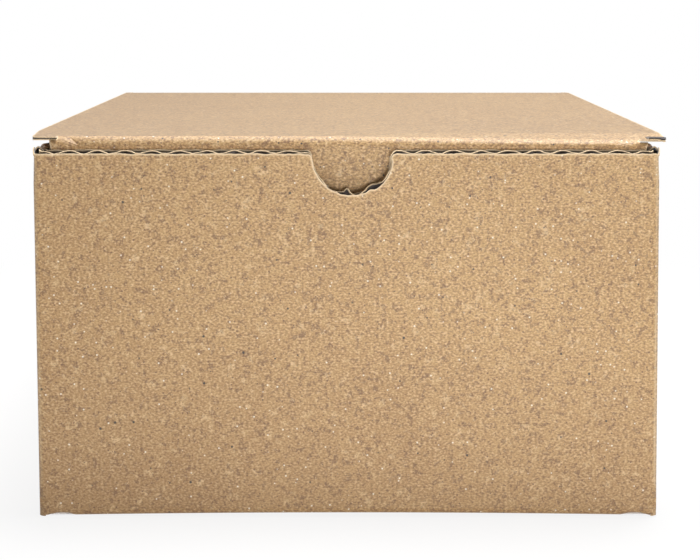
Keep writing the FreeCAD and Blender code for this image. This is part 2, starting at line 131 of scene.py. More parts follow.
class LidSizes(bpy.types.PropertyGroup):
    """Lid panel, ears, tuck flap and rear crease."""

    corner: length("Corner", "Rounding of the lid's corners", 2.2)
    fold_radius: length("Fold Radius", "Outside of the tuck flap's fold", 2.4)
    flap_depth: length("Tuck Flap", "Tuck flap from its fold to its free edge", 30.0)
    flap_corner: length("Flap Corner", "Rounding of the tuck flap's free corners", 11.0)
    flap_side_gap: length("Flap Side Gap", "Tuck flap to each side wall", 0.3)
    ear_width: length("Ear Width", "Lid's side to the tuck flap's side", 4.4)
    ear_reach: length("Ear Reach", "How far back an ear is crushed", 26.0)
    ear_nose: length("Ear Nose", "Ear ahead of the tuck flap's fold", 0.3)
    ear_thickness: length("Ear Thickness", "Crushed board at an ear's front", 0.8)
    slit_overrun: length("Slit Overrun", "Slit beyond the ear, into the flap's fold", 2.0)
    slit_width: length("Slit Width", "Opening of the slit", 0.3)
    crease_start: length("Crease Start", "Rear crease down the back wall from the rim", 3.0)
    crease_reach: length("Crease Reach", "Rear crease over the lid", 3.5)
    droop: length("Droop", "How far the front fold is pressed down at its right end", 0.9)
    bent_in: length("Bent In", "How far the front left corner is bent in", 1.4)
    lean: bpy.props.FloatProperty(
        name="Lean", description="Tuck flap's lean into the box", default=math.radians(7), unit="ROTATION")


class KraftLook(bpy.types.PropertyGroup):
    """Colours and grain of the papers."""

    paper: colour("Paper", "Unbleached face paper", (0.485, 0.280, 0.105))
    pale_paper: colour("Pale Paper", "Face paper where it is lighter", (0.575, 0.350, 0.140))
    # Also the colour of the painted shade towards the left and the bottom.
    dark_fibre_and_shade: colour("Dark Fibre", "Dark fibres and strokes", (0.19, 0.092, 0.040))
    light_fibre: colour("Light Fibre", "Light fibres", (0.82, 0.60, 0.34))
    dark_speck: colour("Dark Speck", "Ink specks", (0.016, 0.012, 0.014))
    white_speck: colour("White Speck", "Bleached specks", (0.95, 0.90, 0.78))
    # Colours the cut edges, and the pale lines painted along the front folds.
    cut_edge: colour("Cut Edge", "Paper where it is cut or worn", (0.93, 0.71, 0.44))
    # Painted shade: paper that faces the flutes is coloured near-black, standing in for the shade inside the board.
    hollow: colour("Hollow", "Paper that faces the flutes", (0.022, 0.014, 0.012))


class StageLook(bpy.types.PropertyGroup):
    """Camera."""

    lens: bpy.props.FloatProperty(name="Lens", description="Focal length in millimetres", default=85.0)
    shift: bpy.props.FloatProperty(name="Shift", description="Upward shift of the picture", default=-0.08)
    pitch: bpy.props.FloatProperty(
        name="Pitch", description="Camera's downward tilt", default=math.radians(7.872), unit="ROTATION")
    yaw: bpy.props.FloatProperty(
        name="Yaw", description="Camera's turn to the right", default=math.radians(0.046), unit="ROTATION")
    spot: bpy.props.FloatVectorProperty(
        name="Spot", description="Camera's place", default=(0.00052, -0.46933, 0.12265), unit="LENGTH")


class Route:
    """Straight runs and left turns in a plane, measured along their length.

    Depth is measured to the left, which is the inside of the board's outer face.
    """

    def __init__(self, start, heading):
        self.pieces = []
        self.point = Vector(start)
        self.heading = heading
        self.length = 0.0

    def run(self, distance):
        self.pieces.append((self.length, distance, self.point.copy(), self.heading, None))
        self.point += ahead(self.heading) * distance
        self.length += distance
        return self

    def bend(self, radius, angle=QUARTER):
        centre = self.point + left(self.heading) * radius
        self.pieces.append((self.length, radius * angle, centre, self.heading, radius))
        self.heading += angle
        self.point = centre - left(self.heading) * radius
        self.length += radius * angle
        return self

    def at(self, distance, depth):
        reached = [piece for piece in self.pieces if piece[0] <= distance + 1e-9] or self.pieces[:1]
        start, _, anchor, heading, radius = reached[-1]
        if radius is None:
            return anchor + ahead(heading) * (distance - start) + left(heading) * depth
        turned = heading + (distance - start) / radius
        return anchor - left(turned) * (radius - depth)

    def stops(self, steps=8):
        """Distances where the route needs points, so that its bends come out round."""
        found = {0.0, self.length}
        for start, span, _, _, radius in self.pieces:
            count = 1 if radius is None else steps
            found.update(start + span * step / count for step in range(count + 1))
        return sorted(found)


def ahead(heading):
    return Vector((math.cos(heading), math.sin(heading)))


def left(heading):
    return Vector((-math.sin(heading), math.cos(heading)))


def smooth(value, low, high):
    """0 below low and 1 above high, with an even change between them."""
    share = min(max((value - low) / (high - low), 0.0), 1.0)
    return share * share * (3 - 2 * share)


def wander(distance, size, seed):
    """A smooth random value between about -1 and 1 along a line."""
    return min(max(2 * noise.noise(Vector((distance / size, seed * 7.31, 0.37))), -1.0), 1.0)


def arc(centre, radius, start, end, steps=10):
    angles = (start + (end - start) * step / steps for step in range(steps + 1))
    return [(centre[0] + radius * math.cos(angle), centre[1] + radius * math.sin(angle)) for angle in angles]


def split_edges(outline, columns, rows, step):
    """The outline with points where it crosses the columns and rows, and none further apart than step."""
    points = []
    for here, there in zip(outline, outline[1:] + outline[:1]):
        here, there = Vector(here), Vector(there)
        along = there - here
        if along.length < 1e-7:
            continue
        shares = {0.0}
        for axis, places in ((0, columns), (1, rows)):
            if abs(along[axis]) > 1e-9:
                shares.update((place - here[axis]) / along[axis] for place in places)
        count = math.ceil(along.length / step)
        shares.update(index / count for index in range(count))
        closest = 0.02 * MM / along.length
        kept = []
        for share in sorted(share for share in shares if 0 <= share < 1 - closest):
            if not kept or share - kept[-1] > closest:
                kept.append(share)
        points += [here + along * share for share in kept]
    return points


def roughen(points, ragged, seed, size=0.9 * MM):
    """Move the points of an outline in and out a little, as a die leaves a cut edge."""
    moved = []
    run = 0.0
    for index, point in enumerate(points):
        before, after = points[index - 1], points[(index + 1) % len(points)]
        run += (point - before).length
        along = (after - before).normalized()
        slip = ragged(point) * (wander(run, size, seed) + 0.7 * wander(run, size * 4, seed + 3))
        moved.append(point + Vector((along.y, -along.x)) * slip)
    return moved


def inset_ring(points, band):
    ring = []
    for index, point in enumerate(points):
        before, after = points[index - 1], points[(index + 1) % len(points)]
        along = (after - before).normalized()
        ring.append(point + Vector((-along.y, along.x)) * band)
    return ring


def gaps_to(points, outline):
    """Distance of each point from the outline."""
    starts = numpy.array(outline)
    runs = numpy.roll(starts, -1, axis=0) - starts
    squares = (runs ** 2).sum(1)
    found = []
    for point in numpy.array(points):
        reach = point - starts
        share = numpy.clip((reach * runs).sum(1) / squares, 0, 1)
        found.append(math.sqrt(((reach - runs * share[:, None]) ** 2).sum(1).min()))
    return numpy.array(found)


def inside(points, outline):
    """Whether each point lies inside the outline."""
    starts = numpy.array(outline)
    ends = numpy.roll(starts, -1, axis=0)
    rise = ends[:, 1] - starts[:, 1]
    rise[rise == 0] = 1e-12
    found = []
    for across, up in points:
        crossed = (starts[:, 1] > up) != (ends[:, 1] > up)
        reach = starts[:, 0] + (ends[:, 0] - starts[:, 0]) * (up - starts[:, 1]) / rise
        found.append(int((crossed & (across < reach)).sum()) % 2 == 1)
    return found


def cut_blank(outline, columns, rows, band, cut=lambda point: True):
    """A flat sheet inside an outline that runs anticlockwise: points, triangles and nearness to the edge.

    Where cut says no, the board goes on past the outline and its paper stays plain.
    """
    spots = [(column, row) for column in range(len(columns)) for row in range(len(rows))]
    inner = inset_ring(outline, band)
    ring = [point for point, gap in zip(inner, gaps_to(inner, outline)) if gap > 0.9 * band]
    lattice = [Vector((columns[column], rows[row])) for column, row in spots]
    kept = [spot for spot, gap, held in zip(spots, gaps_to(lattice, outline), inside(lattice, outline))
            if held and gap > 1.2 * band]
    count = len(outline)
    edges = [(index, (index + 1) % count) for index in range(count)]
    numbers = {spot: index for index, spot in enumerate(kept, count + len(ring))}
    lattice = [Vector((columns[column], rows[row])) for column, row in kept]
    links = [(numbers[spot], numbers[beside]) for spot in kept
             for beside in ((spot[0] + 1, spot[1]), (spot[0], spot[1] + 1)) if beside in numbers]
    first = count + len(ring)
    for share in (0.2, 0.4, 0.6, 0.8):
        middles = [lattice[end - first].lerp(lattice[start - first], share) for start, end in links]
        links = [link for link, held in zip(links, inside(middles, outline)) if held]
    edges += links
    scaled = [point / MM for point in outline + ring + lattice]
    points, _, triangles, _, _, _ = delaunay_2d_cdt(scaled, edges, [], 1, 1e-5)
    used = sorted({corner for triangle in triangles for corner in triangle})
    place = {old: new for new, old in enumerate(used)}
    points = [Vector(points[index]) * MM for index in used]
    triangles = [tuple(place[corner] for corner in triangle) for triangle in triangles]
    nearness = numpy.clip(1.5 - 1.5 * gaps_to(points, outline) / band, 0, 1)
    return points, triangles, nearness * [float(cut(point)) for point in points]


def steps_between(low, high, step):
    count = max(1, round((high - low) / step))
    return [low + (high - low) * index / count for index in range(count + 1)]


def rows_along(route, start, step, turns=8):
    """Rows for a folded panel: close together in the route's bends, and a step apart from start on."""
    return sorted(set(route.stops(turns) + steps_between(start, route.length, step)))


def show(name, mesh):
    piece = bpy.data.objects.new(name, mesh)
    bpy.context.scene.collection.objects.link(piece)
    return piece


def mesh_with_values(name, vertices, faces, values):
    """A mesh, with named values at each vertex that the papers read."""
    mesh = bpy.data.meshes.new(name)
    mesh.from_pydata(vertices, [], faces)
    for key, numbers in values.items():
        mesh.attributes.new(key, "FLOAT", "POINT").data.foreach_set("value", numpy.float32(numbers))
    return mesh


def new_mesh_object(name, vertices, faces, values):
    """A closed mesh with outward faces, and its named values at each vertex."""
    mesh = mesh_with_values(name, vertices, faces, values)
    face_outwards(mesh)
    return show(name, mesh)


def soften(mesh):
    mesh.shade_smooth()
    mesh.set_sharp_from_angle(angle=SHARP_ANGLE)


def face_outwards(mesh):
    work = bmesh.new()
    work.from_mesh(mesh)
    bmesh.ops.recalc_face_normals(work, faces=work.faces)
    work.to_mesh(mesh)
    work.free()
    soften(mesh)


def make_slab(name, blank, place, outer, inner, hollow_inside=True):
    """Give a blank its thickness and fold it: place turns (across, up, depth) into a point."""
    points, triangles, nearness = blank
    count = len(points)
    vertices = [place(point.x, point.y, depth) for depth in (outer, inner) for point in points]
    faces = list(triangles) + [tuple(corner + count for corner in reversed(triangle)) for triangle in triangles]
    sides = {}
    for triangle in triangles:
        for start, end in zip(triangle, triangle[1:] + triangle[:1]):
            if sides.pop((end, start), None) is None:
                sides[(start, end)] = True
    faces += [(end, start, start + count, end + count) for start, end in sides]
    # 1 on the face toward the flutes, which gets the painted shade, and 0 on the other.
    hollow = [float(not hollow_inside)] * count + [float(hollow_inside)] * count
    hidden_share = 0.3 if hollow_inside else 1.0
    fuzz = list(nearness) + list(nearness * hidden_share)
    return new_mesh_object(name, vertices, faces, {"edge": fuzz, "hollow": hollow})


def join_pieces(name, pieces):
    """One object from several, which keeps their points' values."""
    work = bmesh.new()
    for piece in pieces:
        work.from_mesh(piece.data)
        bpy.data.objects.remove(piece)
    mesh = bpy.data.meshes.new(name)
    work.to_mesh(mesh)
    work.free()
    soften(mesh)
    return show(name, mesh)


def dress(piece, paper, body):
    """Give a piece its paper, and let it ride its body."""
    piece.data.materials.clear()
    piece.data.materials.append(bpy.data.materials[paper])
    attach(piece, body)
    return piece


def line_flap(name, lines, columns, rows, place, board, spacing, ragged, seed, cut=lambda point: True):
    """A flap's two liners in one piece: lines are the outlines of its outer and of its inner one."""
    pieces = []
    for part, line, outer in zip(("outer", "inner"), lines, (0.0, board.thickness - board.liner)):
        edge = roughen(split_edges(line, columns, rows, spacing), ragged, seed)
        blank = cut_blank(edge, columns, rows, board.edge_band, cut)
        pieces.append(make_slab(f"{name}_{part}", blank, place, outer, outer + board.liner, part == "outer"))
    return dress(join_pieces(name, pieces), LINER_PAPER, "carton")


class Wire:
    """A socket that can be used in sums, so that shader maths reads as arithmetic."""

    def __init__(self, owner, socket):
        self.owner = owner
        self.socket = socket

    def __add__(self, other):
        return self.owner.sum("ADD", self, other)

    def __radd__(self, other):
        return self.owner.sum("ADD", other, self)

    def __sub__(self, other):
        return self.owner.sum("SUBTRACT", self, other)

    def __rsub__(self, other):
        return self.owner.sum("SUBTRACT", other, self)

    def __mul__(self, other):
        return self.owner.sum("MULTIPLY", self, other)

    def __rmul__(self, other):
        return self.owner.sum("MULTIPLY", other, self)

    def __truediv__(self, other):
        return self.owner.sum("DIVIDE", self, other)

    def __abs__(self):
        return self.owner.sum("ABSOLUTE", self)

    def __gt__(self, other):
        return self.owner.sum("GREATER_THAN", self, other)


class Network:
    """Adds nodes to a shader or geometry tree."""

    MATH = "ShaderNodeMath"

    def __init__(self, tree):
        self.tree = tree

    def add(self, kind, settings=None, inputs=None, output=0):
        node = self.tree.nodes.new(kind)
        for key, value in (settings or {}).items():
            if key == "stops":
                self.set_stops(node, value)
            else:
                setattr(node, key, value)
        for key, value in (inputs or {}).items():
            if isinstance(value, Wire):
                self.tree.links.new(value.socket, node.inputs[key])
            else:
                node.inputs[key].default_value = value
        return Wire(self, node.outputs[output]) if node.outputs else None

    def set_stops(self, node, stops):
        elements = node.color_ramp.elements
        while len(elements) < len(stops):
            elements.new(1.0)
        for element, (position, value) in zip(elements, stops):
            element.position = position
            element.color = value

    def sum(self, operation, *values):
        return self.add(self.MATH, {"operation": operation}, dict(enumerate(values)))

    def limit(self, value):
        return self.add(self.MATH, {"operation": "ADD", "use_clamp": True}, {0: value, 1: 0.0})

    def between(self, value, low, high):
        """0 at low and 1 at high, limited to that range."""
        return self.add("ShaderNodeMapRange", {"clamp": True}, {0: value, 1: low, 2: high, 3: 0.0, 4: 1.0})

    def seen_ray(self):
        """1 for the rays that show the background: to the camera, off gloss and through glass."""
        return self.limit(sum(self.add("ShaderNodeLightPath", output=name)
                              for name in ("Is Camera Ray", "Is Glossy Ray", "Is Transmission Ray")))

    def blend(self, share, first, second):
        """Two colours mixed by a share."""
        inputs = {0: share, 6: first, 7: second}
        return self.add("ShaderNodeMix", {"data_type": "RGBA", "clamp_factor": True}, inputs, 2)


class Paper(Network):
    """The shader of one paper."""

    def __init__(self, name):
        self.material = bpy.data.materials.new(name)
        self.material.use_nodes = True
        self.material.node_tree.nodes.clear()
        super().__init__(self.material.node_tree)
        place = self.add("ShaderNodeTexCoord", output="Object")
        self.place = self.vector("SCALE", place, {"Scale": 1 / MM})
        self.x, self.z = self.axis(self.place, 0), self.axis(self.place, 2)

    def vector(self, operation, first, inputs):
        return self.add("ShaderNodeVectorMath", {"operation": operation}, {0: first, **inputs})

    def axis(self, vector, index):
        return self.add("ShaderNodeSeparateXYZ", inputs={0: vector}, output=index)

    def moved(self, offset):
        return self.vector("ADD", self.place, {1: offset})

    def stretched(self, factors):
        return self.vector("MULTIPLY", self.place, {1: factors})

    def cloud(self, scale, seed, detail=2.0, place=None):
        """Noise around 0.5, with scale in waves per millimetre."""
        inputs = {"Vector": place or self.place, "W": seed, "Scale": scale, "Detail": detail}
        return self.add("ShaderNodeTexNoise", {"noise_dimensions": "4D"}, inputs)

    def strokes(self, scale, width, share, seed):
        """Short curved strokes: broken contour lines of a noise."""
        lines = 1 - self.limit(abs(self.cloud(scale, seed, 1.0) - 0.5) / width)
        return lines * self.between(self.cloud(scale * 0.7, seed + 5.0, 1.0), 1 - share, 1.08 - share)

    def specks(self, scale, radius, share, seed):
        """Scattered round flecks; radius is a share of the spacing between them."""
        inputs = {"Vector": self.moved((seed, seed * 0.7, seed * 1.3)), "Scale": scale, "Randomness": 1.0}
        gap = self.add("ShaderNodeTexVoronoi", {"feature": "F1"}, inputs, "Distance")
        cell = self.add("ShaderNodeTexVoronoi", {"feature": "F1"}, inputs, "Color")
        chance, size = self.axis(cell, 0), self.axis(cell, 1)
        reach = radius * (0.45 + 0.55 * size)
        return self.between(reach - gap, 0.0, radius * 0.25) * (chance > 1 - share)

    def attribute(self, name):
        return self.add("ShaderNodeAttribute", {"attribute_name": name}, output="Fac")

    def finish(self, base, roughness, height, strength, distance):
        bump = self.add("ShaderNodeBump", inputs={"Strength": strength, "Distance": distance, "Height": height})
        surface = self.add("ShaderNodeBsdfPrincipled", inputs={
            "Base Color": base, "Roughness": roughness, "Normal": bump,
            "Specular IOR Level": 0.85, "Sheen Weight": 0.75, "Sheen Roughness": 0.3,
        })
        self.add("ShaderNodeOutputMaterial", inputs={"Surface": surface})
        return self.material


def rgba(value):
    return (*value, 1.0)


def make_liner_paper(look):
    """Recycled kraft face paper: mottled, full of short fibres, pale where it is cut and along the front folds, with
    painted shade towards the left, towards the bottom and on the faces toward the flutes.
    """
    paper = Paper(LINER_PAPER)
    broad, fine = paper.cloud(scale=0.03, seed=1.0), paper.cloud(scale=0.3, seed=2.0, detail=3.0)
    mottle = 0.5 * broad + 0.5 * fine
    base = paper.blend(paper.between(mottle, 0.36, 0.66), rgba(look.paper), rgba(look.pale_paper))

    grain = paper.cloud(scale=2.0, seed=3.0, place=paper.stretched((0.8, 1.0, 1.2)))
    light_grain, dark_grain = paper.between(grain, 0.51, 0.70), paper.between(grain, 0.49, 0.29)
    base = paper.blend(light_grain * 0.95, base, rgba(look.light_fibre))
    base = paper.blend(dark_grain * 0.95, base, rgba(look.dark_fibre_and_shade))
    # Painted shade: the paper is darkened towards the left and towards the bottom, standing in for the fall-off of
    # the light.
    painted_shade_left, painted_shade_low = paper.between(paper.x, 10.0, -75.0), paper.between(paper.z, 50.0, 0.0)
    base = paper.blend(painted_shade_left * 0.16 + painted_shade_low * 0.24, base, rgba(look.dark_fibre_and_shade))

    dark = paper.strokes(scale=1.15, width=0.12, share=0.45, seed=11.0)
    pale = paper.strokes(scale=0.9, width=0.10, share=0.40, seed=21.0)
    base = paper.blend(dark * 0.85, base, rgba(look.dark_fibre_and_shade))
    base = paper.blend(pale * 0.6, base, rgba(look.light_fibre))

    brown = paper.specks(scale=0.75, radius=0.20, share=0.9, seed=41.0)
    small_ink = paper.specks(scale=0.42, radius=0.15, share=0.8, seed=3.0)
    large_ink = paper.specks(scale=0.16, radius=0.08, share=0.8, seed=17.0)
    white = paper.specks(scale=0.45, radius=0.14, share=0.8, seed=29.0)
    base = paper.blend(brown * 0.9, base, rgba(look.dark_fibre_and_shade))
    base = paper.blend(white * 0.8, base, rgba(look.white_speck))
    base = paper.blend(paper.limit(small_ink + large_ink) * 0.9, base, rgba(look.dark_speck))

    pale_band = paper.limit(paper.attribute("edge") * (0.75 + 0.6 * paper.cloud(scale=1.2, seed=31.0)))
    # Painted shade: faces toward the flutes go near-black.
    base = paper.blend(paper.attribute("hollow") * 0.93, base, rgba(look.hollow))
    base = paper.blend(pale_band, base, rgba(look.cut_edge))
    return paper.finish(base, roughness=0.56 + 0.15 * grain, height=grain, strength=0.22, distance=0.06 * MM)


def make_fluting_paper(look):
    """The wavy paper, painted near-black as shade inside the board, and pale along its cut edge."""
    paper = Paper(WAVY_PAPER)
    grain = paper.cloud(scale=1.1, seed=41.0, detail=3.0)
    # Painted shade: near-black, a little lighter in a grain.
    lighter = [2.2 * part for part in look.hollow]
    base = paper.blend(paper.between(grain, 0.3, 0.7), rgba(look.hollow), rgba(lighter))
    pale_band = paper.limit(paper.attribute("edge") * (0.8 + 0.5 * grain))
    base = paper.blend(pale_band, base, rgba(look.cut_edge))
    return paper.finish(base, roughness=0.8, height=grain, strength=0.3, distance=0.1 * MM)


def flute_tree():
    """Geometry nodes that turn a flat sheet into one wave after another, with a thickness."""
    tree = bpy.data.node_groups.new("Fluting", "GeometryNodeTree")
    made = Network(tree)
    sockets = [
        ("Geometry", "NodeSocketGeometry"), ("Pitch", "NodeSocketFloat"), ("Phase", "NodeSocketFloat"),
        ("Height", "NodeSocketFloat"), ("Thickness", "NodeSocketFloat"), ("Unevenness", "NodeSocketFloat"),
        ("Seed", "NodeSocketFloat"), ("Material", "NodeSocketMaterial"),
    ]
    for name, kind in sockets:
        tree.interface.new_socket(name, in_out="INPUT", socket_type=kind)
    tree.interface.new_socket("Geometry", in_out="OUTPUT", socket_type="NodeSocketGeometry")
    source = tree.nodes.new("NodeGroupInput")
    given = {name: Wire(made, source.outputs[name]) for name, _ in sockets}

    place = made.add("GeometryNodeInputPosition")
    across = made.add("ShaderNodeSeparateXYZ", inputs={0: place})
    cloud = {"Vector": place, "W": given["Seed"], "Scale": 0.09 / MM, "Detail": 2.0}
    drift = made.add("ShaderNodeTexNoise", {"noise_dimensions": "4D"}, cloud) - 0.5
    turn = (across - given["Phase"] + drift * given["Unevenness"] * 4) * (2 * math.pi) / given["Pitch"]
    crushed = made.add("GeometryNodeInputNamedAttribute", {"data_type": "FLOAT"}, {"Name": "crush"})
    wave = made.sum("COSINE", turn) * given["Height"] * -0.5 * (1 - crushed)
    lift = wave + drift * given["Unevenness"] * crushed
    offset = made.add("ShaderNodeCombineXYZ", inputs={2: lift})
    waved = made.add("GeometryNodeSetPosition", inputs={"Geometry": given["Geometry"], "Offset": offset})
    grown = made.add("GeometryNodeExtrudeMesh", {"mode": "FACES"},
                     {"Mesh": waved, "Offset Scale": given["Thickness"], "Individual": False}, "Mesh")
    under = made.add("GeometryNodeFlipFaces", inputs={"Mesh": waved})
    both = tree.nodes.new("GeometryNodeJoinGeometry")
    for part in (under, grown):
        tree.links.new(part.socket, both.inputs[0])
    pair = Wire(made, both.outputs[0])
    closed = made.add("GeometryNodeMergeByDistance", inputs={"Geometry": pair, "Distance": 1e-6})
    single = made.add("GeometryNodeRealizeInstances", inputs={"Geometry": closed})
    done = made.add("GeometryNodeSetMaterial", inputs={"Geometry": single, "Material": given["Material"]})
    sink = tree.nodes.new("NodeGroupOutput")
    tree.links.new(done.socket, sink.inputs[0])
    return tree


def make_fluting(name, outline, rows, place, board, body, seed, phase=0.0, crush=lambda point: 0.0):
    """The wavy paper inside an outline, made by the fluting nodes and then folded by place.

    Crush says how flat the waves are pressed at a point, from 0 to 1.
    """
    across = [point[0] for point in outline]
    points_a_wave = 14
    columns = steps_between(min(across), max(across), board.pitch / points_a_wave)
    edge = roughen(split_edges(outline, columns, rows, HIDDEN_EDGE), lambda point: board.ragged, seed)
    points, triangles, nearness = cut_blank(edge, columns[1:-1], rows, board.edge_band * 0.6)
    flat = [(point.x, point.y, 0.0) for point in points]
    values = {"edge": nearness, "crush": [crush(point) for point in points]}
    piece = show(name, mesh_with_values(name, flat, triangles, values))

    tree = bpy.data.node_groups.get("Fluting") or flute_tree()
    modifier = piece.modifiers.new("Fluting", "NODES")
    modifier.node_group = tree
    height = board.thickness - 2 * board.liner - board.medium
    settings = {
        "Pitch": board.pitch, "Phase": phase, "Height": height, "Thickness": board.medium,
        "Unevenness": board.unevenness, "Seed": float(seed), "Material": bpy.data.materials[WAVY_PAPER],
    }
    for item in tree.interface.items_tree:
        if item.in_out == "INPUT" and item.name in settings:
            modifier[item.identifier] = settings[item.name]
    result = bpy.data.meshes.new_from_object(piece.evaluated_get(bpy.context.evaluated_depsgraph_get()))
    piece.modifiers.clear()
    piece.data = result
    middle = (board.thickness - board.medium) / 2
    for vertex in result.vertices:
        vertex.co = place(vertex.co.x, vertex.co.y, middle + vertex.co.z)
    face_outwards(result)
    return dress(piece, WAVY_PAPER, body)


def lifted(walls, point):
    """The side walls' folds stand a little higher under the lid's crushed ears."""
    x, y, z = point
    under_ear = smooth(-y, 62 * MM, 80 * MM) * (1 - smooth(-y, 88 * MM, 89.5 * MM))
    on_fold = smooth(abs(x), 70.2 * MM, 71.8 * MM) * smooth(z, 78 * MM, 85 * MM)
    return Vector((x, y, z + walls.ear_lift * under_ear * on_fold))


def settled(walls, point):
    """Walls that lean out a little towards the table, and a front edge that bows up from it."""
    x, y, z = point
    half, upright, bowed = CARTON_HIGH.x, CARTON_HIGH.z - 5 * MM, 25 * MM
    low = max(0.0, 1 - z / upright)
    even = (walls.splay_right - walls.splay_left) / 2
    spread = (walls.splay_right + walls.splay_left) / 2
    arch = walls.bow * (1 - (x / half) ** 2) * smooth(-y, 0.0, -CARTON_LOW.y)
    return lifted(walls, (x + low * (even + spread * x / half), y, z + arch * max(0.0, 1 - z / bowed)))


# Where each layer is torn round the notch: angle and width in degrees, and depth in millimetres.
NOTCH_TEARS = {
    "outer": ((-38, 30, 0.5), (-62, 5, -0.35), (-100, 10, 0.25), (-140, 18, 0.15)),
    "medium": ((-97, 3.5, -1.1), (-60, 12, -0.6), (-120, 8, 0.5), (-20, 10, 0.5)),
    "inner": ((-35, 16, 0.5), (-118, 9, 0.35), (-95, 7, 0.5), (-10, 12, -0.4), (-165, 14, 0.2)),
}


def notch_line(walls, layer, top):
    """The thumb notch from its right shoulder to its left one, with that layer's tears."""
    radius, shoulder, middle = walls.notch_radius, walls.shoulder_radius, walls.notch_offset
    low = walls.wall_height - walls.notch_drop
    lift = top - shoulder - low
    apart = math.sqrt((radius + shoulder) ** 2 - lift ** 2)
    lean = math.atan2(lift, apart)
    right = arc((middle + apart, top - shoulder), shoulder, QUARTER, math.pi + lean, 6)
    final = arc((middle - apart, top - shoulder), shoulder, -lean, QUARTER, 6)
    round_part = []
    for step in range(1, 60):
        angle = lean - (math.pi + 2 * lean) * step / 60
        reach = radius
        for centre, width, depth in NOTCH_TEARS[layer]:
            reach += depth * MM * math.exp(-((math.degrees(angle) - centre) / width) ** 2)
        round_part.append((middle + reach * math.cos(angle), low + reach * math.sin(angle)))
    return right + round_part + final


class WallRing:
    """The four walls unrolled, from the rear right corner round by the left, front and right."""

    def __init__(self, half_x, half_y, radius, end_y, end_radius):
        side, front = 2 * (half_y - radius), 2 * (half_x - radius)
        self.route = Route((half_x, half_y), math.pi)
        self.back_end = self.route.run(2 * half_x - radius).length
        self.left_start = self.route.bend(radius).length
        self.left_end = self.route.run(side).length
        self.front_start = self.route.bend(radius).length
        self.front_end = self.route.run(front).length
        self.right_start = self.route.bend(radius).length
        self.right_end = self.route.run(end_y + half_y - radius).length
        self.end = self.route.bend(end_radius).run(1.5 * MM).length
        self.middle = (self.front_start + self.front_end) / 2

    def place(self, walls):
        def folded(along, up, depth):
            point = self.route.at(along, depth)
            return settled(walls, (point.x, point.y, up))
        return folded


def past(level):
    """True beyond a level of the outline's second measure."""
    return lambda point: point.y > level


def ragged_above(board, level):
    """Cut edges wander, and folds that only meet the next sheet don't."""
    return lambda point: board.ragged if point.y > level else 0.0


